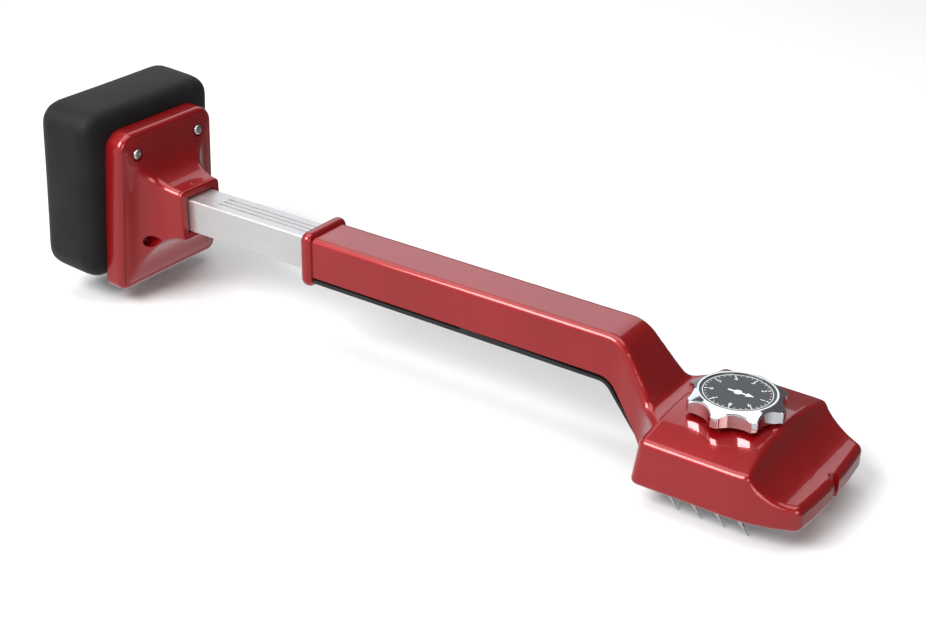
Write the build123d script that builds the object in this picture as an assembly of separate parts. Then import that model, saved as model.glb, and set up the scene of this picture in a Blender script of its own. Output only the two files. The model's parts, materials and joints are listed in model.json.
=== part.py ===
from build123d import *
import math
import os

# Carpet knee kicker. Every size is in millimetres.
# The model is laid out along its tube: X runs from the knee pad to the head, the tube's
# axis is Y = Z = 0, and X = 0 is the rear mouth of the handle. At export the whole tool
# moves so that its origin is the bottom centre of its bounding box.

# Inner tube and its travel
TUBE_W, TUBE_H, TUBE_WALL, TUBE_EDGE = 24.0, 23.0, 2.2, 1.2
TUBE_EXPOSED = 102.0          # from the flange's socket to the handle's mouth
TRAVEL = 96.0                 # how far the tube slides into the handle
TUBE_SOCKET_DEPTH = 24.0      # tube inside the flange
TUBE_INSIDE = 104.0           # tube inside the handle when extended
NOTCH_PITCH, NOTCH_LENGTH, NOTCH_W = 12.0, 8.6, 13.0
GROOVE_W, GROOVE_DEPTH, GROOVE_PITCH = 1.8, 1.4, 4.6
GROOVE_START = -81.0
RIVET_X, RIVET_Y, RIVET_R = -85.0, 4.2, 1.5
SLIDE_GAP = 0.5               # tube to bore, each side

# Handle, neck and collar
HANDLE_HALF_W, HANDLE_TOP, WALL_BOTTOM, LEVER_BOTTOM = 17.0, 14.5, -12.0, -16.2
COLLAR_LEN, COLLAR_W, COLLAR_H, COLLAR_EDGE = 8.0, 40.0, 37.0, 3.4
NECK_ANGLE = 51.5             # below horizontal
NECK_TOP_X, NECK_UNDER_X = 231.6, 225.0
NECK_FOOT_Z, NECK_FRONT_X, NECK_SHELF_Z = -48.5, 268.0, -18.6
NECK_FLARE = [(227.0, 17.0), (239.0, 19.3), (249.0, 22.4), (255.0, 26.0), (261.0, 32.0), (269.0, 41.0)]
BEND_OUTER_R, BEND_INNER_R, SHELF_R = 20.0, 14.0, 8.0
HANDLE_EDGE = 4.5
BORE_END = 206.0

# Head
HEAD_TOP, HEAD_SIDE_TOP, HEAD_BOTTOM, HEAD_HALF_W = -15.4, -22.6, -51.4, 52.3
HEAD_REAR_X, HEAD_REAR_BOTTOM_X, HEAD_REAR_BOW = 265.5, 260.5, 3.0
HEAD_STRAIGHT_X, HEAD_FRONT_X = 321.0, 361.2
NOSE_CORNER_X, NOSE_CORNER_Y, NOSE_CORNER_R = 358.8, 41.5, 6.0
SCOOP_X = 328.0
HEAD_TOP_EDGE, HEAD_EDGE, HEAD_CORNER = 4.5, 3.0, 5.0
LIP_NOTCH_W, LIP_NOTCH_DEPTH = 6.5, 5.6
CAVITY_X0, CAVITY_X1, CAVITY_HALF_W, CAVITY_TOP = 267.0, 325.2, 43.8, -24.5
TOE_CAVITY_X1, TOE_CAVITY_TOP = 334.0, -38.5
PLATE_T, PLATE_X0, PLATE_X1, PLATE_HALF_W = 2.0, 264.2, 347.0, 45.9
PLATE_TAPER_X, PLATE_TOE_HALF_W = 333.0, 38.0

# Dial and pins
DIAL_X = 297.9
DIAL_R, DIAL_LOBES, DIAL_TOP, DIAL_BOTTOM = 29.0, 8, -4.0, -13.6
DIAL_RIM_R, DIAL_SHOULDER_Z = 22.7, -7.2
SCALLOP_R, SCALLOP_REACH, HUB_R = 15.0, 39.5, 9.5
LABEL_R, LABEL_T = 21.5, 0.8
SCREW_R, BUSH_R, RUNNING = 4.0, 6.5, 0.05
BLOCK_T = 5.0
PIN_ROWS, PIN_COLUMNS = 4, 6
PIN_PITCH_X, PIN_PITCH_Y, PIN_R, PIN_SLANT = 14.3, 16.2, 2.0, 36.0
PIN_TIP_X, PIN_TIP_Z = 287.3, -64.9
POST_Y, POST_R = 16.2, 3.5
PLATE_SCREWS_FRONT = [(341.5, -30.0), (341.5, 30.0)]
DETENT_X, BALL_R, DIMPLES = 320.5, 1.5, 16
DETENT_BOSS_R, DETENT_BOSS_H, DETENT_DEPTH = 3.0, 0.6, 4.4
NUT_R, CLIP_IN_R, CLIP_T, GRUB_Z = 6.0, 3.2, 0.9, -12.9

# Release lever
LEVER_HALF_W, LEVER_X0, PIVOT_X, PIVOT_Z = 16.6, 9.0, 130.0, -7.6
LEVER_SQUEEZE = 1.2           # degrees
LEVER_FOOT_Z = -46.4
TOOTH_X0, TOOTH_X1, TOOTH_W, TOOTH_GAP = 24.0, 31.0, 11.0, 0.3
SPRING_X, SPRING_R, SPRING_WIRE, SPRING_TOP = 214.0, 3.0, 0.45, -4.0
STUD_R, STUD_IN, STUD_OUT = 2.0, 12.7, 16.2

# Flange and pad
FLANGE_X, FLANGE_HALF_W, FLANGE_TOP, FLANGE_BOTTOM = -132.0, 47.0, 57.2, -54.5
FLANGE_RIM, FLANGE_PITCH, FLANGE_EDGE = 13.5, 3.2, 4.0
FLANGE_UPPER_R, FLANGE_LOWER_R, FLANGE_SIDE_ANGLE = 12.5, 7.5, 88.2
SOCKET_HALF_W, SOCKET_HALF_H, SOCKET_CORNER = 19.0, 18.0, 4.5
UPPER_SCREW = (28.8, 42.6, -0.4, 4.6)     # y, z, seat from the rim's face, recess radius
LOWER_SCREW = (25.8, -20.0, -5.0, 4.2)
PAD_W, PAD_H, PAD_T, PAD_MID_Z = 119.0, 120.4, 48.0, 11.1
PAD_CORNER, PAD_EDGE = 15.5, 10.0
BACKING_W, BACKING_H, BACKING_T = 77.0, 78.0, 4.0
SET_SCREW_XS = (-TUBE_EXPOSED - 18.0, -TUBE_EXPOSED - 9.0)

TAN_NECK = math.tan(math.radians(NECK_ANGLE))
TAN_SLANT = math.tan(math.radians(PIN_SLANT))
LEVER_SEAM = WALL_BOTTOM - LEVER_BOTTOM
BLOCK_BOTTOM = HEAD_BOTTOM + PLATE_T + 0.5
BLOCK_TOP = BLOCK_BOTTOM + BLOCK_T
COLUMN_YS = [(i - (PIN_COLUMNS - 1) / 2) * PIN_PITCH_Y for i in range(PIN_COLUMNS)]
PIN_TIP_XS = [PIN_TIP_X + i * PIN_PITCH_X for i in range(PIN_ROWS)]


def block(x0, x1, y0, y1, z0, z1):
    """A box between two corners."""
    return Pos((x0 + x1) / 2, (y0 + y1) / 2, (z0 + z1) / 2) * Box(x1 - x0, y1 - y0, z1 - z0)


def rod(x, y, z0, z1, radius):
    """An upright cylinder between two heights."""
    return Pos(x, y, (z0 + z1) / 2) * Cylinder(radius, z1 - z0)


def side_prism(outline, half_width):
    """A closed outline in the XZ plane, pushed out equally to both sides."""
    return extrude(Plane.XZ.offset(-half_width) * make_face(outline), 2 * half_width)


def bar_section(x, width, height, radius, z=0.0):
    """A rounded rectangle square to the tube."""
    return Pos(x, 0, z) * (Plane.YZ * RectangleRounded(width, height, radius))


def edges_near(shape, test):
    """The edges whose middle point passes a test."""
    return [e for e in shape.edges() if test(e.position_at(0.5))]


# ---------------------------------------------------------------- tube and bumper

def inner_tube():
    x0 = -TUBE_EXPOSED - TUBE_SOCKET_DEPTH
    length = TUBE_SOCKET_DEPTH + TUBE_EXPOSED + TUBE_INSIDE
    tube = extrude(bar_section(x0, TUBE_W, TUBE_H, TUBE_EDGE), length)
    inner_w, inner_h = TUBE_W - 2 * TUBE_WALL, TUBE_H - 2 * TUBE_WALL
    tube -= extrude(bar_section(x0 - 1, inner_w, inner_h, 0.8), length + 2)
    for i in (-1, 0, 1):
        y = i * GROOVE_PITCH
        top = TUBE_H / 2
        tube -= block(GROOVE_START, TUBE_INSIDE - 8, y - GROOVE_W / 2, y + GROOVE_W / 2,
                      top - GROOVE_DEPTH, top + 1)
    for i in range(int(TRAVEL / NOTCH_PITCH) + 1):
        x = (TOOTH_X0 + TOOTH_X1) / 2 - i * NOTCH_PITCH
        tube -= block(x - NOTCH_LENGTH / 2, x + NOTCH_LENGTH / 2, -NOTCH_W / 2, NOTCH_W / 2,
                      -TUBE_H / 2 - 1, -TUBE_H / 2 + TUBE_WALL + 0.5)
    for y in (-RIVET_Y, RIVET_Y):
        tube -= rod(RIVET_X, y, TUBE_H / 2 - TUBE_WALL - 1, TUBE_H / 2 + 1, RIVET_R)
    return tube


def tube_end_plug():
    w, h = TUBE_W - 2 * TUBE_WALL - 0.2, TUBE_H - 2 * TUBE_WALL - 0.2
    plug = extrude(bar_section(TUBE_INSIDE - 10, w, h, 0.8), 10)
    cap = extrude(bar_section(TUBE_INSIDE, TUBE_W - 0.6, TUBE_H - 0.6, TUBE_EDGE), 2)
    return plug + cap


def stop_rivets():
    top = TUBE_H / 2
    rivets = []
    for y in (-RIVET_Y, RIVET_Y):
        shank = rod(RIVET_X, y, top - TUBE_WALL - 1.2, top, RIVET_R)
        dome = Pos(RIVET_X, y, top) * Cylinder(RIVET_R, 0.4)
        rivets.append(shank + dome)
    return Compound(rivets)


def flange_plane(offset, up=0.0):
    """The flange's rim plane, pitched top forward, moved along its own normal and upward."""
    pitch = math.radians(FLANGE_PITCH)
    normal = Vector(math.cos(pitch), 0, -math.sin(pitch))
    rise = Vector(math.sin(pitch), 0, math.cos(pitch))
    middle = Vector(FLANGE_X, 0, (FLANGE_TOP + FLANGE_BOTTOM) / 2)
    return Plane(middle + normal * offset + rise * up, x_dir=(0, 1, 0), z_dir=normal)


def rim_section(width, height, upper_r, lower_r, side_angle):
    """A trapezium, wider below, whose upper and lower corners are rounded differently."""
    outline = Trapezoid(width, height, side_angle)
    outline = fillet([v for v in outline.vertices() if v.Y > 0], upper_r)
    return fillet([v for v in outline.vertices() if v.Y < upper_r - height / 2 - 0.1
                   and v.Y < 0], lower_r)


def flare_section(step, run):
    """One cross-section of the flare, from the rim (0) to the socket (1)."""
    left = 1 - step
    mid = (FLANGE_TOP + FLANGE_BOTTOM) / 2 * left
    half_w = (FLANGE_HALF_W - 4.5) * left + SOCKET_HALF_W * step
    half_h = ((FLANGE_TOP - FLANGE_BOTTOM) / 2 - 4.5) * left + SOCKET_HALF_H * step
    pitch = math.radians(FLANGE_PITCH) * left
    x = FLANGE_X + run * (-TUBE_EXPOSED - 3 - FLANGE_X)
    plane = Plane((x, 0, mid), x_dir=(0, 1, 0), z_dir=(math.cos(pitch), 0, -math.sin(pitch)))
    upper_r = (FLANGE_UPPER_R - 4) * left + SOCKET_CORNER * step
    lower_r = (FLANGE_LOWER_R - 4) * left + SOCKET_CORNER * step
    angle = FLANGE_SIDE_ANGLE * left + 90 * step
    return plane * rim_section(2 * half_w, 2 * half_h, upper_r, lower_r, angle)


def flange_screw_places():
    """For each screw: its side offset, seat, recess radius and a plane at the rim's face."""
    mid = (FLANGE_TOP + FLANGE_BOTTOM) / 2
    return [(side * y, seat, recess, flange_plane(0, z - mid)) for side in (-1, 1)
            for y, z, seat, recess in (UPPER_SCREW, LOWER_SCREW)]


def bumper_flange():
    rim = rim_section(2 * FLANGE_HALF_W, FLANGE_TOP - FLANGE_BOTTOM, FLANGE_UPPER_R,
                      FLANGE_LOWER_R, FLANGE_SIDE_ANGLE)
    rim = extrude(flange_plane(-FLANGE_RIM) * rim, FLANGE_RIM)
    rim = fillet(rim.faces().sort_by(Axis.X)[-1].edges(), FLANGE_EDGE)
    steps = [(0.0, 0.0), (0.38, 0.08), (0.66, 0.22), (0.85, 0.45), (0.96, 0.75), (1.0, 1.0)]
    flare = loft([flare_section(step, run) for step, run in steps])
    socket = extrude(bar_section(-TUBE_EXPOSED - 4, 2 * SOCKET_HALF_W, 2 * SOCKET_HALF_H,
                                 SOCKET_CORNER), 4)
    socket = fillet(socket.faces().sort_by(Axis.X)[-1].edges(), 1.8)
    flange = rim + flare + socket
    hollow = extrude(flange_plane(-FLANGE_RIM - 1) * RectangleRounded(70, 94, 6), FLANGE_RIM - 4)
    seat = block(-TUBE_EXPOSED - TUBE_SOCKET_DEPTH - 3, -TUBE_EXPOSED - 6, -16.5, 16.5, -15.5, 15.5)
    flange = flange - hollow + seat
    flange -= extrude(bar_section(-TUBE_EXPOSED - TUBE_SOCKET_DEPTH, TUBE_W, TUBE_H, TUBE_EDGE),
                      TUBE_SOCKET_DEPTH + 10)
    flange -= extrude(bar_section(-TUBE_EXPOSED - 3, TUBE_W + 2.4, TUBE_H + 2.4, 2.0), 10)
    for y, seat_at, recess, plane in flange_screw_places():
        boss = plane * Pos(y, 0, (seat_at - FLANGE_RIM) / 2) * Cylinder(6.5, seat_at + FLANGE_RIM)
        flange += boss
        flange -= plane * Pos(y, 0, 15 + seat_at) * Cylinder(recess, 30)
        flange -= plane * Pos(y, 0, -10) * Cylinder(2.6, 40)
    for x in SET_SCREW_XS:
        flange -= rod(x, 0, -30, -TUBE_H / 2, 2.5)
    return flange


def socket_set_screws():
    """Two grub screws that clamp the tube in the flange from below."""
    screws = []
    for x in SET_SCREW_XS:
        screw = rod(x, 0, -TUBE_H / 2 - 5.5, -TUBE_H / 2, 2.5)
        screw -= rod(x, 0, -TUBE_H / 2 - 6, -TUBE_H / 2 - 3, 1.2)
        screws.append(screw)
    return Compound(screws)


def flange_screws():
    """Pan-head screws into the backing plate, sunk into round recesses."""
    screws = []
    for y, seat_at, _, plane in flange_screw_places():
        head = Pos(y, 0, seat_at + 1.2) * Cylinder(3.6, 2.4)
        head = fillet(head.faces().sort_by(Axis.Z)[-1].edges(), 1.8)
        shank = Pos(y, 0, (seat_at - FLANGE_RIM - BACKING_T) / 2)
        shank *= Cylinder(2.5, seat_at + FLANGE_RIM + BACKING_T)
        slot = Pos(y, 0, seat_at + 2.4) * Box(4.2, 0.9, 1.6)
        slot += Pos(y, 0, seat_at + 2.4) * Box(0.9, 4.2, 1.6)
        screws.append(plane * (head + shank - slot))
    return Compound(screws)


def pad_backing_plate():
    plate = extrude(backing_section(), BACKING_T)
    for y, _, _, plane in flange_screw_places():
        plate -= plane * Pos(y, 0, -FLANGE_RIM) * Cylinder(2.5, 20)
    return plate


def pad_up():
    """How far the pad's middle is above the flange's middle."""
    return PAD_MID_Z - (FLANGE_TOP + FLANGE_BOTTOM) / 2


def backing_section():
    return flange_plane(-FLANGE_RIM - BACKING_T, pad_up()) * RectangleRounded(BACKING_W, BACKING_H, 8)


def bumper_pad():
    section = flange_plane(-FLANGE_RIM - PAD_T, pad_up()) * RectangleRounded(PAD_W, PAD_H, PAD_CORNER)
    pad = extrude(section, PAD_T)
    ends = pad.faces().sort_by(Axis.X)
    pad = fillet(ends[0].edges() + ends[-1].edges(), PAD_EDGE)
    return pad - extrude(backing_section(), BACKING_T + 1)


# ---------------------------------------------------------------- handle, neck and head

def fillet_across(shape, x, z, radius):
    """Round the edge along Y that passes through a point of the side view."""
    picked = [e for e in shape.edges().filter_by(Axis.Y)
              if abs(e.position_at(0.5).X - x) < 0.1 and abs(e.position_at(0.5).Z - z) < 0.1]
    return fillet(picked, radius)


def arm():
    """The handle's channel and the neck, open below where the release lever lies."""
    foot_x = NECK_UNDER_X + (WALL_BOTTOM - NECK_FOOT_Z) / TAN_NECK
    shelf_x = NECK_TOP_X + (HANDLE_TOP - NECK_SHELF_Z) / TAN_NECK
    outline = Polyline((1, WALL_BOTTOM), (NECK_UNDER_X, WALL_BOTTOM), (foot_x, NECK_FOOT_Z),
                       (NECK_FRONT_X, NECK_FOOT_Z), (NECK_FRONT_X, NECK_SHELF_Z),
                       (shelf_x, NECK_SHELF_Z), (NECK_TOP_X, HANDLE_TOP), (1, HANDLE_TOP), close=True)
    body = side_prism(outline, 45)
    body = fillet_across(body, NECK_UNDER_X, WALL_BOTTOM, BEND_INNER_R)
    body = fillet_across(body, NECK_TOP_X, HANDLE_TOP, BEND_OUTER_R)
    body = fillet_across(body, shelf_x, NECK_SHELF_Z, SHELF_R)
    body &= Pos(0, 0, -60) * extrude(make_face(arm_plan()), 100)
    upper = edges_near(body, lambda p: abs(p.Y) > HANDLE_HALF_W - 0.5 and 5 < p.X < NECK_FRONT_X - 0.5
                       and p.Z > HANDLE_TOP - 0.1 - max(0, p.X - NECK_TOP_X + 12) * TAN_NECK)
    return fillet(upper, HANDLE_EDGE)


def arm_plan():
    """The arm seen from above: straight sides, then a flare into the head."""
    start_x, end_half_w = NECK_FLARE[0][0], NECK_FLARE[-1][1]
    left = Spline(NECK_FLARE, tangents=[(1, 0), (0.68, 0.74)])
    right = Spline([(x, -y) for x, y in NECK_FLARE], tangents=[(1, 0), (0.68, -0.74)])
    end_x = NECK_FLARE[-1][0]
    return [left, right, Line((end_x, end_half_w), (end_x, -end_half_w)),
            Polyline((start_x, HANDLE_HALF_W), (0, HANDLE_HALF_W), (0, -HANDLE_HALF_W),
                     (start_x, -HANDLE_HALF_W))]


def head_outline():
    """The head seen from above: straight sides, a tapering nose and a slightly bowed front."""
    w, cx, cy = HEAD_HALF_W, NOSE_CORNER_X, NOSE_CORNER_Y
    side = [(HEAD_STRAIGHT_X, w), (334.0, w - 1.6), (345.5, w - 4.8), (cx, cy)]
    outline = make_face([
        Line((HEAD_REAR_BOTTOM_X, -w), (HEAD_STRAIGHT_X, -w)),
        Spline([(x, -y) for x, y in side], tangents=[(1, 0), (0.88, 0.47)]),
        ThreePointArc((cx, -cy), (HEAD_FRONT_X, 0), (cx, cy)),
        Spline(side, tangents=[(1, 0), (0.88, -0.47)]),
        Line((HEAD_STRAIGHT_X, w), (HEAD_REAR_BOTTOM_X, w)),
        ThreePointArc((HEAD_REAR_BOTTOM_X, w), (HEAD_REAR_BOTTOM_X - HEAD_REAR_BOW, 0),
                      (HEAD_REAR_BOTTOM_X, -w))])
    return fillet([v for v in outline.vertices() if v.X > cx - 0.1], NOSE_CORNER_R)


def head_crown():
    """The head's cross-section: flat below and gently arched on top."""
    w = HEAD_HALF_W + 5
    drop = (HEAD_TOP - HEAD_SIDE_TOP) * (w / HEAD_HALF_W) ** 2
    side = HEAD_TOP - drop
    section = make_face([ThreePointArc((-w, side), (0, HEAD_TOP), (w, side)),
                         Polyline((w, side), (w, HEAD_BOTTOM), (-w, HEAD_BOTTOM), (-w, side))])
    return extrude(Plane.YZ.offset(240) * section, 140)


def head():
    body = extrude(Pos(0, 0, HEAD_BOTTOM) * head_outline(), HEAD_TOP - HEAD_BOTTOM + 2)
    body &= head_crown()
    scoop = [Spline([(SCOOP_X, HEAD_TOP + 0.5), (331, -22.0), (336.5, -29.0), (344, -33.8),
                     (HEAD_FRONT_X + 6, -37.2)], tangents=[(0.35, -0.93), (1, -0.1)]),
             Polyline((HEAD_FRONT_X + 6, -37.2), (HEAD_FRONT_X + 6, HEAD_TOP + 5),
                      (SCOOP_X, HEAD_TOP + 5), (SCOOP_X, HEAD_TOP + 0.5))]
    body -= side_prism(scoop, HEAD_HALF_W + 5)
    drop = HEAD_TOP - HEAD_BOTTOM
    lean = HEAD_REAR_X - HEAD_REAR_BOTTOM_X
    wedge = Polyline((240, HEAD_BOTTOM - 1), (HEAD_REAR_BOTTOM_X - lean / drop, HEAD_BOTTOM - 1),
                     (HEAD_REAR_X + lean / drop, HEAD_TOP + 1), (240, HEAD_TOP + 1), close=True)
    body -= side_prism(wedge, HEAD_HALF_W + 5)
    corners = [e for e in body.edges().filter_by(GeomType.LINE)
               if e.position_at(0.5).X < HEAD_REAR_X + 1 and abs(e.position_at(0.5).Y) > HEAD_HALF_W - 1
               and e.length > 20 and abs(e.tangent_at(0.5).Z) > 0.8]
    body = fillet(corners, HEAD_CORNER)
    upper = [e for e in body.edges() if abs(e.tangent_at(0.5).Z) < 0.8
             and e.position_at(0.5).Z > HEAD_BOTTOM + 0.1]
    body = fillet(upper, HEAD_TOP_EDGE)
    return fillet([e for e in body.edges() if e.bounding_box().max.Z < HEAD_BOTTOM + 0.1], HEAD_EDGE)


def body_casting():
    """One casting: collar, handle, neck and head, with the bores and pockets for its pieces."""
    collar = extrude(bar_section(0, COLLAR_W, COLLAR_H, 6, HANDLE_TOP + 3 - COLLAR_H / 2), COLLAR_LEN)
    collar = fillet(collar.faces().filter_by(Axis.X).edges(), COLLAR_EDGE)
    casting = arm() + collar + head()
    web = block(COLLAR_LEN - 1, 118, -13.5, 13.5, WALL_BOTTOM - 1.4, WALL_BOTTOM + 1)
    casting += web
    casting -= block(-1, BORE_END, -TUBE_W / 2 - SLIDE_GAP, TUBE_W / 2 + SLIDE_GAP,
                     -TUBE_H / 2 - SLIDE_GAP, TUBE_H / 2 + SLIDE_GAP)
    casting -= block(TOOTH_X0 - 3, TOOTH_X1 + 3, -TOOTH_W / 2 - 1, TOOTH_W / 2 + 1, -15, -8)
    for side in (-1, 1):
        inner, outer = sorted((side * 12, side * 15.3))
        casting -= block(PIVOT_X - 6, PIVOT_X + 6, inner, outer, WALL_BOTTOM - 1, PIVOT_Z + 4.6)
    casting -= Pos(PIVOT_X, 0, PIVOT_Z) * Rot(90, 0, 0) * Cylinder(STUD_R, 2 * STUD_OUT)
    casting -= rod(SPRING_X, 0, -20, SPRING_TOP, SPRING_R + 0.8)
    casting -= block(CAVITY_X0, CAVITY_X1, -CAVITY_HALF_W, CAVITY_HALF_W, HEAD_BOTTOM - 1, CAVITY_TOP)
    casting -= block(CAVITY_X1 - 1, TOE_CAVITY_X1, -CAVITY_HALF_W, CAVITY_HALF_W,
                     HEAD_BOTTOM - 1, TOE_CAVITY_TOP)
    casting -= face_plate_blank()
    casting -= rod(DIAL_X, 0, CAVITY_TOP - 1, HEAD_TOP + 1, BUSH_R)
    for y in (-POST_Y, POST_Y):
        casting -= rod(DIAL_X, y, CAVITY_TOP - 1, CAVITY_TOP + 2.5, POST_R)
    for x, y in PLATE_SCREWS_FRONT:
        casting -= rod(x, y, HEAD_BOTTOM - 1, HEAD_BOTTOM + 9, 1.5)
    casting += rod(DETENT_X, 0, HEAD_TOP - 1, HEAD_TOP + DETENT_BOSS_H, DETENT_BOSS_R)
    casting -= rod(DETENT_X, 0, HEAD_TOP - DETENT_DEPTH, HEAD_TOP + 5, BALL_R + RUNNING)
    notch_x = HEAD_FRONT_X - LIP_NOTCH_DEPTH + LIP_NOTCH_W / 2
    casting -= rod(notch_x, 0, HEAD_BOTTOM - 1, HEAD_TOP, LIP_NOTCH_W / 2)
    casting -= block(notch_x, HEAD_FRONT_X + 1, -LIP_NOTCH_W / 2, LIP_NOTCH_W / 2,
                     HEAD_BOTTOM - 1, HEAD_TOP)
    return casting


# ---------------------------------------------------------------- release lever

def lever_pivot_studs():
    studs = []
    for side in (-1, 1):
        y = side * (STUD_IN + STUD_OUT) / 2
        studs.append(Pos(PIVOT_X, y, PIVOT_Z) * Rot(90, 0, 0) * Cylinder(STUD_R, STUD_OUT - STUD_IN))
    return Compound(studs)


def lever_under_x():
    """Where the lever's straight run meets its dog-leg, on the outside."""
    return NECK_UNDER_X - LEVER_SEAM * math.tan(math.radians(NECK_ANGLE / 2))


def lever_top_z(x):
    """The lever's upper face in front of its pivot, sloped away from the handle's walls."""
    return WALL_BOTTOM - 0.3 - (x - PIVOT_X) * math.tan(math.radians(LEVER_SQUEEZE + 0.1))


def release_lever():
    """A long strip under the handle and neck: squeezed at the bend, it drops the tooth."""
    under_x = lever_under_x()
    bend_top = lever_top_z(under_x)
    foot_x = under_x + (LEVER_BOTTOM - LEVER_FOOT_Z) / TAN_NECK
    across = (bend_top - LEVER_BOTTOM) / math.sin(math.radians(NECK_ANGLE))
    inner_x = under_x + (bend_top - LEVER_BOTTOM) * math.tan(math.radians(NECK_ANGLE / 2))
    outline = Polyline(
        (LEVER_X0, LEVER_BOTTOM), (under_x, LEVER_BOTTOM), (foot_x, LEVER_FOOT_Z),
        (foot_x + across, LEVER_FOOT_Z), (inner_x, bend_top), (PIVOT_X - 8, WALL_BOTTOM - 0.3),
        (PIVOT_X - 8, WALL_BOTTOM - 1.7), (LEVER_X0, WALL_BOTTOM - 1.7), close=True)
    lever = side_prism(outline, LEVER_HALF_W)
    lever = fillet_across(lever, under_x, LEVER_BOTTOM, BEND_INNER_R - LEVER_SEAM)
    lever = fillet_across(lever, inner_x, bend_top, BEND_INNER_R - WALL_BOTTOM + bend_top)
    for side in (-1, 1):
        inner, outer = sorted((side * 12.9, side * 14.9))
        ear = block(PIVOT_X - 4, PIVOT_X + 4, inner, outer, WALL_BOTTOM - 2, PIVOT_Z)
        ear += Pos(PIVOT_X, (inner + outer) / 2, PIVOT_Z) * Rot(90, 0, 0) * Cylinder(4, 2)
        lever += ear
    lever -= Pos(PIVOT_X, 0, PIVOT_Z) * Rot(90, 0, 0) * Cylinder(STUD_R + RUNNING, 40)
    return lever


def lock_tooth():
    """The steel tooth that drops into the tube's notches, drawn just clear of the tube."""
    return block(TOOTH_X0, TOOTH_X1, -TOOTH_W / 2, TOOTH_W / 2,
                 WALL_BOTTOM - 1.7, -TUBE_H / 2 - TOOTH_GAP)


def lever_spring():
    """A small compression spring between the handle's roof pocket and the lever."""
    bottom = lever_top_z(SPRING_X) + SPRING_WIRE + 0.05
    height = SPRING_TOP - SPRING_WIRE - 0.05 - bottom
    coil = Helix(pitch=height / 5, height=height, radius=SPRING_R - SPRING_WIRE)
    start = Plane(coil.position_at(0), z_dir=coil.tangent_at(0))
    return Pos(SPRING_X, 0, bottom) * sweep(start * Circle(SPRING_WIRE), coil, is_frenet=True)


# ---------------------------------------------------------------- face plate and pins

def face_plate_blank():
    w, toe = PLATE_HALF_W, PLATE_TOE_HALF_W
    plan = Polyline((PLATE_X0, -w), (PLATE_TAPER_X, -w), (PLATE_X1, -toe), (PLATE_X1, toe),
                    (PLATE_TAPER_X, w), (PLATE_X0, w), close=True)
    return extrude(Pos(0, 0, HEAD_BOTTOM) * make_face(plan), PLATE_T)


def face_plate():
    """The steel sole plate, slotted lengthways so that each column of pins can pass."""
    plate = face_plate_blank()
    for y in COLUMN_YS:
        plate -= block(PIN_TIP_XS[0] - 14, PIN_TIP_XS[-1] + 2, y - 2.8, y + 2.8,
                       HEAD_BOTTOM - 1, HEAD_BOTTOM + PLATE_T + 1)
    for x, y in plate_screw_places():
        plate -= rod(x, y, HEAD_BOTTOM - 1, HEAD_BOTTOM + PLATE_T + 1, 1.5)
        plate -= Pos(x, y, HEAD_BOTTOM + 0.6) * Cone(2.7, 1.5, 1.2)
    return plate


def plate_screw_places():
    return [(DIAL_X, -POST_Y), (DIAL_X, POST_Y)] + PLATE_SCREWS_FRONT


def face_plate_screws():
    """Countersunk screws: two into the guide posts and two into the toe."""
    screws = []
    for x, y in plate_screw_places():
        screw = Pos(x, y, HEAD_BOTTOM + 0.6) * Cone(2.7, 1.5, 1.2) + rod(x, y, HEAD_BOTTOM + 1, HEAD_BOTTOM + 8, 1.5)
        screws.append(screw - Pos(x, y, HEAD_BOTTOM) * Box(3.4, 0.7, 1.0))
    return Compound(screws)


def guide_posts():
    """Two posts from the head's roof to the sole plate, on which the pin block slides."""
    posts = []
    for y in (-POST_Y, POST_Y):
        post = rod(DIAL_X, y, HEAD_BOTTOM + PLATE_T, CAVITY_TOP + 2.5, POST_R)
        posts.append(post - rod(DIAL_X, y, HEAD_BOTTOM, HEAD_BOTTOM + 9, 1.5))
    return Compound(posts)


def nap_grips():
    """Three fine-toothed strips under the sole plate, which grip only the carpet's nap."""
    strips = []
    for y in (-2 * POST_Y, 0, 2 * POST_Y):
        strip = block(276, 326, y - 2, y + 2, HEAD_BOTTOM - 0.8, HEAD_BOTTOM)
        for i in range(12):
            x = 278 + i * 4
            tooth = Polyline((x, HEAD_BOTTOM - 0.7), (x + 2.4, HEAD_BOTTOM - 0.7),
                             (x + 2.8, HEAD_BOTTOM - 2.6), close=True)
            strip += Pos(0, y, 0) * side_prism(tooth, 1.6)
        strips.append(strip)
    return Compound(strips)


def pin(x_tip, y):
    """One slanted pin: a round shank in the block and a long taper to its point."""
    lean = math.radians(PIN_SLANT)
    axis = Vector(math.sin(lean), 0, -math.cos(lean))
    tip = Vector(x_tip, y, PIN_TIP_Z)
    length = (BLOCK_TOP - 1 - PIN_TIP_Z) / math.cos(lean)
    taper = 15.5
    shank = Plane(tip - axis * length, z_dir=axis) * Pos(0, 0, (length - taper) / 2)
    cone = Plane(tip - axis * taper, z_dir=axis) * Pos(0, 0, taper / 2)
    return shank * Cylinder(PIN_R, length - taper) + cone * Cone(PIN_R, 0.15, taper)


def main_pins():
    return Compound([pin(x, y) for x in PIN_TIP_XS for y in COLUMN_YS])


def pin_block():
    """The plate that carries the pins, with bores for the posts and the brass nut."""
    plate = block(CAVITY_X0 + 0.5, CAVITY_X1 - 0.6, -CAVITY_HALF_W + 0.4, CAVITY_HALF_W - 0.4,
                  BLOCK_BOTTOM, BLOCK_TOP)
    for y in (-POST_Y, POST_Y):
        plate -= rod(DIAL_X, y, BLOCK_BOTTOM - 1, BLOCK_TOP + 1, POST_R + RUNNING)
    plate -= rod(DIAL_X, 0, BLOCK_BOTTOM - 1, BLOCK_TOP + 1, NUT_R)
    for x in PIN_TIP_XS:
        for y in COLUMN_YS:
            plate -= pin(x, y)
    return plate


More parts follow.
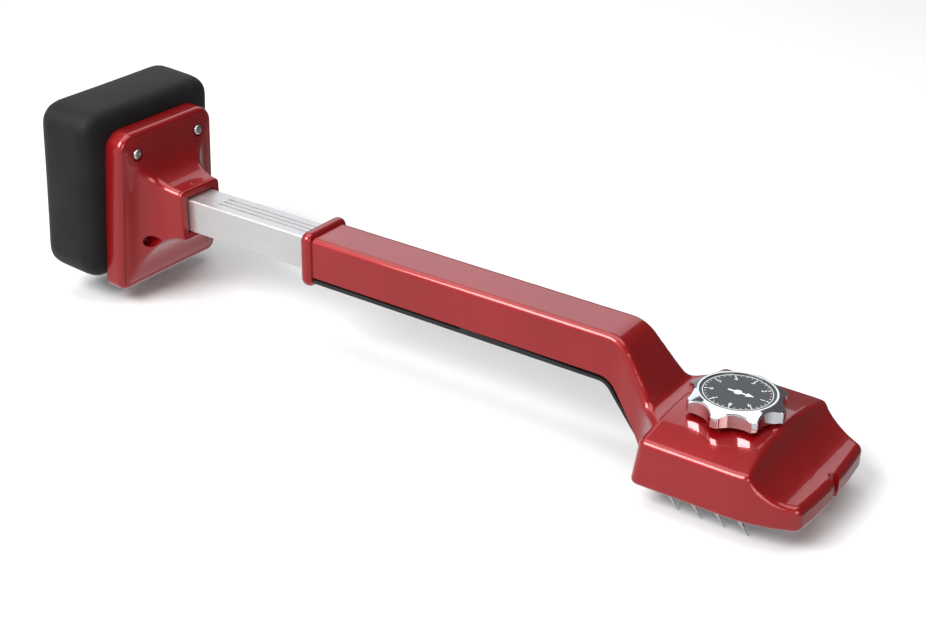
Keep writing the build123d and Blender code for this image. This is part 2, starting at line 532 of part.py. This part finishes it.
def lift_nut():
    """The brass nut pressed in the pin block, which climbs the adjusting screw."""
    nut = rod(DIAL_X, 0, BLOCK_BOTTOM, BLOCK_TOP, NUT_R)
    return nut - rod(DIAL_X, 0, BLOCK_BOTTOM - 1, BLOCK_TOP + 1, SCREW_R + RUNNING)


# ---------------------------------------------------------------- dial

def screw_bush():
    bush = rod(DIAL_X, 0, CAVITY_TOP, HEAD_TOP, BUSH_R)
    return bush - rod(DIAL_X, 0, CAVITY_TOP - 1, HEAD_TOP + 1, SCREW_R + RUNNING)


def adjusting_screw():
    """The screw, drawn as a plain rod, with a groove for its clip."""
    z = CAVITY_TOP - CLIP_T - 0.2
    groove = rod(DIAL_X, 0, z, z + CLIP_T, SCREW_R + 1) - rod(DIAL_X, 0, z, z + CLIP_T, CLIP_IN_R)
    return rod(DIAL_X, 0, BLOCK_BOTTOM - 0.2, DIAL_TOP - 7, SCREW_R) - groove


def retaining_clip():
    """The open clip that holds the screw up against the head's roof."""
    z = CAVITY_TOP - CLIP_T - 0.2
    clip = rod(DIAL_X, 0, z, z + CLIP_T, SCREW_R + 2.2)
    clip -= rod(DIAL_X, 0, z - 1, z + CLIP_T + 1, CLIP_IN_R)
    return clip - block(DIAL_X, DIAL_X + 9, -2.2, 2.2, z - 1, z + CLIP_T + 1)


def dial_knob():
    """A chromed knob with scalloped lobes, a sloping shoulder and a hub over the screw."""
    profile = Polyline((0, DIAL_BOTTOM), (DIAL_R, DIAL_BOTTOM), (DIAL_R, DIAL_SHOULDER_Z),
                       (DIAL_RIM_R, DIAL_TOP), (0, DIAL_TOP), close=True)
    lobes = Circle(DIAL_R)
    for i in range(DIAL_LOBES):
        angle = math.radians(360 / DIAL_LOBES * (i + 0.5))
        lobes -= Pos(SCALLOP_REACH * math.cos(angle), SCALLOP_REACH * math.sin(angle)) * Circle(SCALLOP_R)
    lobes = fillet(lobes.vertices(), 1.4)
    blank = extrude(Pos(0, 0, DIAL_BOTTOM) * lobes, DIAL_TOP - DIAL_BOTTOM)
    knob = blank & revolve(Plane.XZ * make_face(profile), Axis.Z)
    knob = fillet([e for e in knob.edges() if abs(e.tangent_at(0.5).Z) < 0.8
                   and DIAL_BOTTOM + 1 < e.position_at(0.5).Z < DIAL_TOP - 0.1], 1.2)
    knob = Pos(DIAL_X, 0, 0) * knob
    knob -= rod(DIAL_X, 0, DIAL_TOP - LABEL_T - 0.6, DIAL_TOP + 1, LABEL_R + 0.1)
    knob -= rod(DIAL_X, 0, DIAL_BOTTOM - 1, DIAL_BOTTOM + 4.5, LABEL_R - 1)
    knob += rod(DIAL_X, 0, HEAD_TOP + 0.4, DIAL_TOP - 3, HUB_R)
    knob -= rod(DIAL_X, 0, HEAD_TOP - 1, DIAL_TOP - 7, SCREW_R)
    for i in range(DIMPLES):
        angle = 2 * math.pi * i / DIMPLES
        reach = DETENT_X - DIAL_X
        dimple = Pos(DIAL_X + reach * math.cos(angle), reach * math.sin(angle), DIAL_BOTTOM - 0.6)
        knob -= dimple * Sphere(BALL_R)
    return knob - dial_grub_screw()


def dial_grub_screw():
    """The grub screw that locks the knob's hub to the adjusting screw."""
    place = Pos(DIAL_X - (SCREW_R + HUB_R) / 2, 0, GRUB_Z) * Rot(0, 90, 0)
    return place * Cylinder(1.5, HUB_R - SCREW_R)


def dial_label():
    """The printed disc let into the knob's top."""
    return rod(DIAL_X, 0, DIAL_TOP - LABEL_T - 0.6, DIAL_TOP - 0.6, LABEL_R)


def detent_ball():
    return Pos(DETENT_X, 0, DIAL_BOTTOM - 0.1 - BALL_R) * Sphere(BALL_R)


def detent_spring():
    bottom = HEAD_TOP - DETENT_DEPTH + 0.3
    height = DIAL_BOTTOM - 0.1 - 2 * BALL_R - 0.3 - bottom
    coil = Helix(pitch=height / 3, height=height, radius=BALL_R - 0.35)
    start = Plane(coil.position_at(0), z_dir=coil.tangent_at(0))
    return Pos(DETENT_X, 0, bottom) * sweep(start * Circle(0.22), coil, is_frenet=True)


# ---------------------------------------------------------------- export

PARTS = {
    "bumper_pad": bumper_pad, "pad_backing_plate": pad_backing_plate,
    "bumper_flange": bumper_flange, "flange_screws": flange_screws,
    "socket_set_screws": socket_set_screws, "inner_tube": inner_tube,
    "tube_end_plug": tube_end_plug, "stop_rivets": stop_rivets,
    "body_casting": body_casting, "release_lever": release_lever,
    "lock_tooth": lock_tooth, "lever_pivot_studs": lever_pivot_studs,
    "lever_spring": lever_spring, "face_plate": face_plate,
    "face_plate_screws": face_plate_screws, "nap_grips": nap_grips,
    "guide_posts": guide_posts, "pin_block": pin_block, "main_pins": main_pins,
    "lift_nut": lift_nut, "screw_bush": screw_bush, "adjusting_screw": adjusting_screw,
    "retaining_clip": retaining_clip, "dial_knob": dial_knob, "dial_label": dial_label,
    "dial_grub_screw": dial_grub_screw, "detent_ball": detent_ball, "detent_spring": detent_spring,
}


def main():
    os.makedirs("parts", exist_ok=True)
    shapes = {name: make() for name, make in PARTS.items()}
    whole = Compound(list(shapes.values())).bounding_box()
    to_origin = Pos(-(whole.min.X + whole.max.X) / 2, 0, -whole.min.Z)
    for name, shape in shapes.items():
        export_step(to_origin * shape, f"parts/{name}.step")
    print("size", whole.size, "tube frame moved by", to_origin.position)


main()
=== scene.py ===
import json
import math

import bmesh
import bpy
from mathutils import Matrix, Vector


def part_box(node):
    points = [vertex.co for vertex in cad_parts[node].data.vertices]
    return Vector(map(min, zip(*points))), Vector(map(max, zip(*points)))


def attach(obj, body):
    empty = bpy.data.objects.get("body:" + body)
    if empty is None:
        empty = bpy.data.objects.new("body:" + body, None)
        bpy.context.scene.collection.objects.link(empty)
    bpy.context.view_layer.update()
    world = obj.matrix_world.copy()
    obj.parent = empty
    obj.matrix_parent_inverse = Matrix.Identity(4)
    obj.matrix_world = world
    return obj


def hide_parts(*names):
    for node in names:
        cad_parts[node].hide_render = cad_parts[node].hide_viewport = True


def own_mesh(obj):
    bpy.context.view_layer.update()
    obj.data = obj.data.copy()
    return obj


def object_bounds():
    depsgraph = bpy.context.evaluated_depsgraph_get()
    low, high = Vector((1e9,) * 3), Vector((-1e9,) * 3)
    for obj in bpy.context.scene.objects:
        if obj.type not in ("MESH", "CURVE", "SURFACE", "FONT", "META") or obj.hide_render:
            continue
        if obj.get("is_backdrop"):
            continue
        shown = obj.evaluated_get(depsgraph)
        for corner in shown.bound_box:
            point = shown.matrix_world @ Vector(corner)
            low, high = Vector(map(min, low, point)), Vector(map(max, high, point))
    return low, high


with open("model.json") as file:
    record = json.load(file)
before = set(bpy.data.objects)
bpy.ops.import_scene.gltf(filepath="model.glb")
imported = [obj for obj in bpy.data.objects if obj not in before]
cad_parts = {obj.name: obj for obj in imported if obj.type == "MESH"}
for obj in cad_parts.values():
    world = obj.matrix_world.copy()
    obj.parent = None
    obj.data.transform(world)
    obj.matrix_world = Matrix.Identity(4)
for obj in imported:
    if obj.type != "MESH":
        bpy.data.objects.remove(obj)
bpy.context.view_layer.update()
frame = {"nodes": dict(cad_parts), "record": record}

# Carpet knee kicker: a foam knee pad on a red flange, a square alloy tube, a red cast handle
# and head, a chrome depth dial and slanted pins. Lengths are in metres.

# Knee pad
PAD_PITCH = math.radians(3.2)
PAD_SIZE = Vector((0.048, 0.119, 0.1204))
PAD_CORNER, PAD_EDGE, PAD_FULLNESS = 0.0145, 0.0090, 1.012
PAD_VOXEL, PAD_SMOOTHING, SWELL_CAP = 0.0035, 4, 0.0012
SHARP_EDGE = 1.2                                         # turn between faces, in radians
CLOTH_STEPS, CLOTH_PRESSURE = 15, 4.0

# Print on the dial
PRINT_T = 0.00006
SCALE_RING_R, SCALE_RING_W, SCALE_RING_STEPS = 0.0196, 0.00035, 96
TICKS, TICKS_PER_LONG, TICK_END_R = 36, 4, 0.0188
LONG_TICK, SHORT_TICK = (0.0018, 0.00055), (0.0010, 0.0003)     # length and width
ARROW_TAIL, ARROW_NECK, ARROW_TIP = -0.006, 0.0052, 0.0098
ARROW_HALF_W, ARROW_HEAD_HALF_W = 0.0006, 0.0021
HUB_R, HUB_T, HUB_STEPS = 0.0024, 0.00009, 32
NUMBERS, NUMBER_R, NUMBER_SIZE = 9, 0.0148, 0.0042

# Floor and light
FLOOR_SIZE, FLOOR_DROP = 12, 0.0002
WORLD_COLOUR = (0.99, 0.98, 1.0, 1.0)
WORLD_BRIGHT_SIDE = (-0.5, -0.6, -0.9)                   # the world gets brighter this way
WORLD_STRENGTH = {"From Min": -0.42, "From Max": 0.15, "To Min": 0.10, "To Max": 0.68}
SOFTBOXES = [
    # name, place, target, size, watts, colour
    ("key", (-0.5, -1.4, 1.6), (0, 0, 0.05), (1.4, 0.9), 46, (1, 1, 1)),
    ("overhead", (-0.2, 0.1, 2.0), (-0.2, 0.1, 0.05), (2.6, 1.7), 27, (1, 1, 1)),
    ("back", (-1.05, 1.85, 1.5), (0, 0, 0.05), (2.3, 1.3), 10.5, (0.88, 0.94, 1.0)),
    ("front", (1.6, -0.9, 0.8), (0.1, 0, 0.05), (0.9, 0.9), 8, (1, 1, 1)),
]

# Camera: its place from the tube's axis at the handle's mouth, its angles in degrees and its
# lens in millimetres
CAMERA_FROM_HANDLE = Vector((0.6175, -0.7435, 0.4475))
CAMERA_AZIMUTH, CAMERA_ELEVATION, CAMERA_ROLL, CAMERA_LENS = 34.17, 27.16, 1.2, 64.1


# ---------------------------------------------------------------- node helpers

class Nodes:
    """A short way to write one material's node tree."""

    def __init__(self, name):
        self.material = bpy.data.materials.new(name)
        self.material.use_nodes = True
        self.tree = self.material.node_tree
        self.shader = self.tree.nodes["Principled BSDF"]
        self.coords = self.add("ShaderNodeTexCoord").outputs["Object"]

    def add(self, kind, inputs=None, **settings):
        node = self.tree.nodes.new(kind)
        for key, value in settings.items():
            setattr(node, key, value)
        for key, value in (inputs or {}).items():
            self.put(node.inputs[key], value)
        return node

    def put(self, socket, value):
        if isinstance(value, bpy.types.NodeSocket):
            self.tree.links.new(value, socket)
        else:
            socket.default_value = value

    def set(self, **values):
        """Values for the shader's own sockets, written with _ for each space."""
        for key, value in values.items():
            self.put(self.shader.inputs[key.replace("_", " ")], value)

    def noise(self, scale, detail, roughness=0.55, stretch=None):
        where = self.coords
        if stretch:
            where = self.add("ShaderNodeMapping", {"Vector": where, "Scale": stretch}).outputs["Vector"]
        node = self.add("ShaderNodeTexNoise", {"Vector": where, "Scale": scale, "Detail": detail,
                                               "Roughness": roughness})
        return node.outputs["Fac"]

    def spread(self, value, low, high, start=0.3, end=0.7):
        """A factor's middle stretch spread over a new range."""
        node = self.add("ShaderNodeMapRange", {"Value": value, "From Min": start, "From Max": end,
                                               "To Min": low, "To Max": high})
        return node.outputs["Result"]

    def colours(self, value, *stops):
        node = self.add("ShaderNodeValToRGB", {"Fac": value})
        ramp = node.color_ramp
        while len(ramp.elements) < len(stops):
            ramp.elements.new(0.5)
        for element, (place, colour) in zip(ramp.elements, stops):
            element.position = place
            element.color = (*colour, 1.0)
        return node.outputs["Color"]

    def bump(self, height, strength, distance, under=None):
        inputs = {"Height": height, "Strength": strength, "Distance": distance}
        if under is not None:
            inputs["Normal"] = under
        return self.add("ShaderNodeBump", inputs).outputs["Normal"]


def red_paint():
    """Candy enamel: a red metallic base coat under clear lacquer."""
    m = Nodes("candy_red_enamel")
    patches = m.noise(14, 2)
    flakes = m.add("ShaderNodeTexVoronoi", {"Vector": m.coords, "Scale": 2600.0}).outputs["Distance"]
    m.set(Base_Color=m.colours(patches, (0.3, (0.275, 0.0022, 0.0035)), (0.7, (0.335, 0.0034, 0.0052))),
          Metallic=0.42, Roughness=m.spread(m.noise(160, 2), 0.28, 0.35),
          Coat_Weight=1.0, Coat_Roughness=0.03, Coat_IOR=1.48)
    m.set(Normal=m.bump(flakes, 0.015, 0.0001))
    peel = m.bump(m.noise(220, 1), 0.03, 0.0002)
    m.set(Coat_Normal=peel)
    return m.material


def foam_rubber():
    """Moulded foam rubber with a fine pebbled skin and a little grey bloom."""
    m = Nodes("black_foam_rubber")
    bloom = m.noise(38, 4, 0.6)
    grain = m.noise(1500, 2, 0.6)
    pits = m.add("ShaderNodeTexVoronoi", {"Vector": m.coords, "Scale": 620.0}).outputs["Distance"]
    m.set(Base_Color=m.colours(bloom, (0.34, (0.0045, 0.0050, 0.0054)), (0.72, (0.0100, 0.0107, 0.0110))),
          Roughness=m.spread(bloom, 0.52, 0.68), Specular_IOR_Level=0.24)
    m.set(Sheen_Weight=0.05, Sheen_Roughness=0.5)
    fine = m.bump(grain, 0.22, 0.0003)
    m.set(Normal=m.bump(pits, 0.16, 0.0004, fine))
    return m.material


def brushed_metal(name, colour, rough, along=(1, 40, 40), metallic=1.0, strength=0.12):
    """Metal with fine lines along one direction."""
    m = Nodes(name)
    lines = m.noise(60, 3, 0.6, stretch=along)
    cloud = m.noise(22, 3)
    dark = tuple(c * 0.90 for c in colour)
    m.set(Base_Color=m.colours(cloud, (0.3, dark), (0.7, colour)), Metallic=metallic,
          Roughness=m.spread(lines, rough * 0.82, rough * 1.18))
    m.set(Normal=m.bump(lines, strength, 0.0002))
    return m.material


def chrome():
    """Polished chrome plate with faint polishing haze."""
    m = Nodes("polished_chrome")
    haze = m.noise(90, 3)
    m.set(Base_Color=m.colours(haze, (0.3, (0.80, 0.81, 0.83)), (0.7, (0.86, 0.87, 0.88))), Metallic=1.0,
          Roughness=m.spread(haze, 0.05, 0.11))
    m.set(Normal=m.bump(m.noise(240, 2), 0.02, 0.0002))
    return m.material


def plain(name, colour, rough, metallic=0.0):
    """A moulded or blackened surface with a fine grain."""
    m = Nodes(name)
    cloud = m.noise(45, 3)
    pale = tuple(min(1.0, c * 1.25 + 0.004) for c in colour)
    m.set(Base_Color=m.colours(cloud, (0.3, colour), (0.7, pale)), Metallic=metallic,
          Roughness=m.spread(cloud, rough * 0.85, rough * 1.15))
    m.set(Normal=m.bump(m.noise(700, 2), 0.1, 0.0002))
    return m.material


MATERIALS = {
    "red_paint": red_paint(),
    "foam": foam_rubber(),
    "aluminium": brushed_metal("satin_aluminium", (0.84, 0.83, 0.82), 0.33, metallic=0.86),
    "chrome": chrome(),
    "black_label": plain("dial_face_black", (0.030, 0.031, 0.034), 0.33),
    "steel": brushed_metal("bright_steel", (0.66, 0.66, 0.65), 0.24, (20, 20, 20), strength=0.05),
    "plate_steel": brushed_metal("zinc_plate", (0.52, 0.52, 0.53), 0.36, (4, 30, 4)),
    "dark_steel": plain("black_oxide", (0.020, 0.021, 0.022), 0.42, 0.4),
    "brass": brushed_metal("turned_brass", (0.66, 0.50, 0.24), 0.28, (8, 8, 60)),
    "black_nylon": plain("black_nylon", (0.022, 0.022, 0.023), 0.5),
}
PRINT = plain("white_print", (0.78, 0.79, 0.79), 0.45)


def dress_nodes():
    """Give every CAD node the material of its slot."""
    for part in frame["record"]["subparts"]:
        piece = frame["nodes"].get(part["node"])
        if piece is None:
            continue
        for slot in piece.material_slots:
            slot.material = MATERIALS[part["material_slot"]]


# ---------------------------------------------------------------- mesh helpers

def new_piece(name, mesh_data, body, material, smooth=True):
    piece = bpy.data.objects.new(name, mesh_data)
    bpy.context.scene.collection.objects.link(piece)
    mesh_data.materials.append(material)
    for face in mesh_data.polygons:
        face.use_smooth = smooth
    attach(piece, body)
    return piece


def mesh_from(name, bm):
    bmesh.ops.recalc_face_normals(bm, faces=bm.faces)
    data = bpy.data.meshes.new(name)
    bm.to_mesh(data)
    bm.free()
    return data


def apply_modifiers(piece):
    """Turn what the modifiers make into the piece's own mesh."""
    graph = bpy.context.evaluated_depsgraph_get()
    made = bpy.data.meshes.new_from_object(piece.evaluated_get(graph))
    piece.modifiers.clear()
    piece.data = made


# ---------------------------------------------------------------- knee pad

def pad_centre():
    low, high = (Vector(corner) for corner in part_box("bumper_pad"))
    return (low + high) / 2


def pad_blank(size, corner, edge):
    """A block with rounded corners seen from behind, and rounded rims front and back."""
    bm = bmesh.new()
    bmesh.ops.create_cube(bm, size=1.0)
    bmesh.ops.scale(bm, vec=size, verts=bm.verts)
    long_edges = [e for e in bm.edges if abs(e.verts[0].co.x - e.verts[1].co.x) > size.x * 0.9]
    bmesh.ops.bevel(bm, geom=long_edges, offset=corner, segments=10, profile=0.5, affect="EDGES")
    rims = [e for e in bm.edges if e.calc_face_angle(0) > SHARP_EDGE]
    bmesh.ops.bevel(bm, geom=rims, offset=edge, segments=8, profile=0.5, affect="EDGES")
    return mesh_from("knee_pad", bm)


def swell(piece, cap):
    """A short cloth run with pressure; no point ends further than the cap from where it began."""
    start = [v.co.copy() for v in piece.data.vertices]
    cloth = piece.modifiers.new("Cloth", "CLOTH")
    settings = cloth.settings
    settings.use_pressure = True
    settings.uniform_pressure_force = CLOTH_PRESSURE
    settings.effector_weights.gravity = 0.0
    settings.tension_stiffness = settings.compression_stiffness = 40
    settings.bending_stiffness = 12
    scene = bpy.context.scene
    for step in range(1, CLOTH_STEPS + 1):
        scene.frame_set(step)
    graph = bpy.context.evaluated_depsgraph_get()
    made = bpy.data.meshes.new_from_object(piece.evaluated_get(graph))
    piece.modifiers.clear()
    scene.frame_set(1)
    for vertex, moved, was in zip(piece.data.vertices, made.vertices, start):
        shift = moved.co - was
        if shift.length > cap:
            shift *= cap / shift.length
        vertex.co = was + shift
    bpy.data.meshes.remove(made)


def knee_pad():
    """The moulded foam pad: crowned faces, soft corners and a very slight unevenness."""
    blank = pad_blank(PAD_SIZE, PAD_CORNER, PAD_EDGE)
    piece = new_piece("knee_pad", blank, "bumper", MATERIALS["foam"])
    remesh = piece.modifiers.new("Remesh", "REMESH")
    remesh.mode = "VOXEL"
    remesh.voxel_size = PAD_VOXEL
    smooth = piece.modifiers.new("Smooth", "SMOOTH")
    smooth.iterations = PAD_SMOOTHING
    apply_modifiers(piece)
    swell(piece, SWELL_CAP)
    subdivide = piece.modifiers.new("Subdivision", "SUBSURF")
    subdivide.levels = subdivide.render_levels = 1
    apply_modifiers(piece)
    low, high = (Vector([pick(v.co[k] for v in piece.data.vertices) for k in range(3)])
                 for pick in (min, max))
    fit = Matrix.Diagonal([*(PAD_SIZE[k] * PAD_FULLNESS / (high[k] - low[k]) for k in range(3)), 1.0])
    place = Matrix.Translation(pad_centre()) @ Matrix.Rotation(PAD_PITCH, 4, "Y")
    piece.data.transform(place @ fit @ Matrix.Translation(-(low + high) / 2))
    for face in piece.data.polygons:
        face.use_smooth = True
    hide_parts("bumper_pad")


# ---------------------------------------------------------------- lever spring

def return_spring():
    """The lever's coil spring, a steel copy of its CAD node at one fixed length; the real spring gets
    shorter as the lever is squeezed.
    """
    source = frame["nodes"]["lever_spring"]
    data = source.data.copy()
    data.transform(source.matrix_world)
    data.materials.clear()
    piece = new_piece("return_spring", data, "body", MATERIALS["steel"])
    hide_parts("lever_spring")
    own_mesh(piece)


# ---------------------------------------------------------------- print on the dial

def dial_centre():
    low, high = (Vector(corner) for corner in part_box("dial_label"))
    return Vector(((low.x + high.x) / 2, (low.y + high.y) / 2, high.z))


def flat_shape(outline, thickness=PRINT_T):
    """A thin raised shape from an outline in the XY plane."""
    bm = bmesh.new()
    low = [bm.verts.new((x, y, 0)) for x, y in outline]
    face = bm.faces.new(low)
    grown = bmesh.ops.extrude_face_region(bm, geom=[face])
    for vertex in [g for g in grown["geom"] if isinstance(g, bmesh.types.BMVert)]:
        vertex.co.z += thickness
    return bm


def join_meshes(name, parts):
    """One mesh from several bmesh parts, each with its own placement."""
    whole = bmesh.new()
    for bm, place in parts:
        data = bpy.data.meshes.new("part")
        bmesh.ops.transform(bm, matrix=place, verts=bm.verts)
        bmesh.ops.recalc_face_normals(bm, faces=bm.faces)
        bm.to_mesh(data)
        bm.free()
        whole.from_mesh(data)
        bpy.data.meshes.remove(data)
    made = bpy.data.meshes.new(name)
    whole.to_mesh(made)
    whole.free()
    return made


def ring(radius, width, steps):
    """A flat ring."""
    bm = bmesh.new()
    inner, outer = radius - width / 2, radius + width / 2
    corners = []
    for i in range(steps):
        angle = 2 * math.pi * i / steps
        c, s = math.cos(angle), math.sin(angle)
        corners.append([bm.verts.new((r * c, r * s, z)) for r, z in
                        ((inner, 0), (outer, 0), (outer, PRINT_T), (inner, PRINT_T))])
    for i, a in enumerate(corners):
        b = corners[(i + 1) % steps]
        for k in range(4):
            bm.faces.new((a[k], b[k], b[(k + 1) % 4], a[(k + 1) % 4]))
    return bm


def dial_ticks(centre):
    """A ring and a scale of short and long ticks round the dial."""
    up = Matrix.Translation(centre)
    parts = [(ring(SCALE_RING_R, SCALE_RING_W, SCALE_RING_STEPS), up)]
    for i in range(TICKS):
        angle = 2 * math.pi * i / TICKS
        length, width = LONG_TICK if i % TICKS_PER_LONG == 0 else SHORT_TICK
        inner = TICK_END_R - length
        outline = [(inner, -width / 2), (TICK_END_R, -width / 2), (TICK_END_R, width / 2),
                   (inner, width / 2)]
        parts.append((flat_shape(outline), up @ Matrix.Rotation(angle, 4, "Z")))
    data = join_meshes("dial_scale", parts)
    new_piece("dial_scale", data, "dial", PRINT, smooth=False)


def dial_pointer(centre):
    """A plain arrow and a small hub disc in the middle of the dial."""
    up = Matrix.Translation(centre)
    shaft, head = ARROW_HALF_W, ARROW_HEAD_HALF_W
    arrow = [(ARROW_TAIL, -shaft), (ARROW_NECK, -shaft), (ARROW_NECK, -head), (ARROW_TIP, 0.0),
             (ARROW_NECK, head), (ARROW_NECK, shaft), (ARROW_TAIL, shaft)]
    turns = (2 * math.pi * i / HUB_STEPS for i in range(HUB_STEPS))
    hub = [(HUB_R * math.cos(a), HUB_R * math.sin(a)) for a in turns]
    parts = [(flat_shape(arrow), up), (flat_shape(hub, HUB_T), up)]
    data = join_meshes("dial_pointer", parts)
    new_piece("dial_pointer", data, "dial", PRINT, smooth=False)


def dial_numbers(centre):
    """The numbers round the scale, read from outside."""
    for i in range(NUMBERS):
        angle = 2 * math.pi * i / NUMBERS
        text = bpy.data.curves.new(f"dial_number_{i + 1}", "FONT")
        text.body = str(i + 1)
        text.size = NUMBER_SIZE
        text.extrude = PRINT_T / 2
        text.align_x = text.align_y = "CENTER"
        maker = bpy.data.objects.new("number_maker", text)
        bpy.context.scene.collection.objects.link(maker)
        graph = bpy.context.evaluated_depsgraph_get()
        data = bpy.data.meshes.new_from_object(maker.evaluated_get(graph))
        bpy.data.objects.remove(maker)
        reach = Vector((NUMBER_R * math.cos(angle), NUMBER_R * math.sin(angle), PRINT_T / 2))
        data.transform(Matrix.Translation(centre + reach) @ Matrix.Rotation(angle - math.pi / 2, 4, "Z"))
        new_piece(f"dial_number_{i + 1}", data, "dial", PRINT, smooth=False)


# ---------------------------------------------------------------- stage

def stage():
    """A pale floor under the pins' points."""
    bpy.ops.mesh.primitive_plane_add(size=FLOOR_SIZE, location=(0, 0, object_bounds()[0][2] - FLOOR_DROP))
    floor = bpy.context.object
    floor.name = "floor"
    m = Nodes("pale_floor")
    cloud = m.noise(3, 2)
    m.set(Base_Color=m.colours(cloud, (0.3, (0.90, 0.90, 0.90)), (0.7, (0.92, 0.92, 0.92))),
          Roughness=0.75)
    floor.data.materials.append(m.material)
    floor.visible_glossy = False
    floor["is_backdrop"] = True


def softbox(name, place, target, size, power, colour):
    light = bpy.data.lights.new(name, "AREA")
    light.shape = "RECTANGLE"
    light.size, light.size_y = size
    light.energy = power
    light.color = colour
    lamp = bpy.data.objects.new(name, light)
    bpy.context.scene.collection.objects.link(lamp)
    lamp.location = place
    aim = Vector(target) - Vector(place)
    lamp.rotation_euler = aim.to_track_quat("-Z", "Y").to_euler()


def lights():
    """A world that is brighter on one side, and the softboxes."""
    world = bpy.data.worlds.new("studio")
    bpy.context.scene.world = world
    world.use_nodes = True
    tree = world.node_tree
    background = tree.nodes["Background"]
    where = tree.nodes.new("ShaderNodeTexCoord")
    lean = tree.nodes.new("ShaderNodeVectorMath")
    lean.operation = "DOT_PRODUCT"
    lean.inputs[1].default_value = WORLD_BRIGHT_SIDE
    ramp = tree.nodes.new("ShaderNodeMapRange")
    ramp.interpolation_type = "SMOOTHSTEP"
    tree.links.new(where.outputs["Generated"], lean.inputs[0])
    tree.links.new(lean.outputs["Value"], ramp.inputs["Value"])
    tree.links.new(ramp.outputs["Result"], background.inputs["Strength"])
    for name, value in WORLD_STRENGTH.items():
        ramp.inputs[name].default_value = value
    background.inputs["Color"].default_value = WORLD_COLOUR
    for box in SOFTBOXES:
        softbox(*box)


def camera():
    """The camera, set from the handle's mouth, so that it keeps its view of the tool."""
    azimuth, elevation, roll = (math.radians(a) for a in (CAMERA_AZIMUTH, CAMERA_ELEVATION, CAMERA_ROLL))
    back = Vector((math.sin(azimuth) * math.cos(elevation), -math.cos(azimuth) * math.cos(elevation),
                   math.sin(elevation)))
    right = Vector((math.cos(azimuth), math.sin(azimuth), 0))
    up = back.cross(right)
    side = right * math.cos(roll) + up * math.sin(roll)
    top = up * math.cos(roll) - right * math.sin(roll)
    turn = Matrix((side, top, back)).transposed()
    data = bpy.data.cameras.new("camera")
    data.lens = CAMERA_LENS
    data.sensor_width = 36.0
    data.clip_start = 0.01
    eye = bpy.data.objects.new("camera", data)
    bpy.context.scene.collection.objects.link(eye)
    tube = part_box("inner_tube")
    mouth = Vector((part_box("body_casting")[0][0], 0, (tube[0][2] + tube[1][2]) / 2))
    eye.matrix_world = Matrix.Translation(mouth + CAMERA_FROM_HANDLE) @ turn.to_4x4()
    bpy.context.scene.camera = eye


bpy.context.scene.view_settings.view_transform = "Standard"
camera()
lights()
dress_nodes()
knee_pad()
return_spring()
middle = dial_centre()
dial_ticks(middle)
dial_pointer(middle)
dial_numbers(middle)
stage()
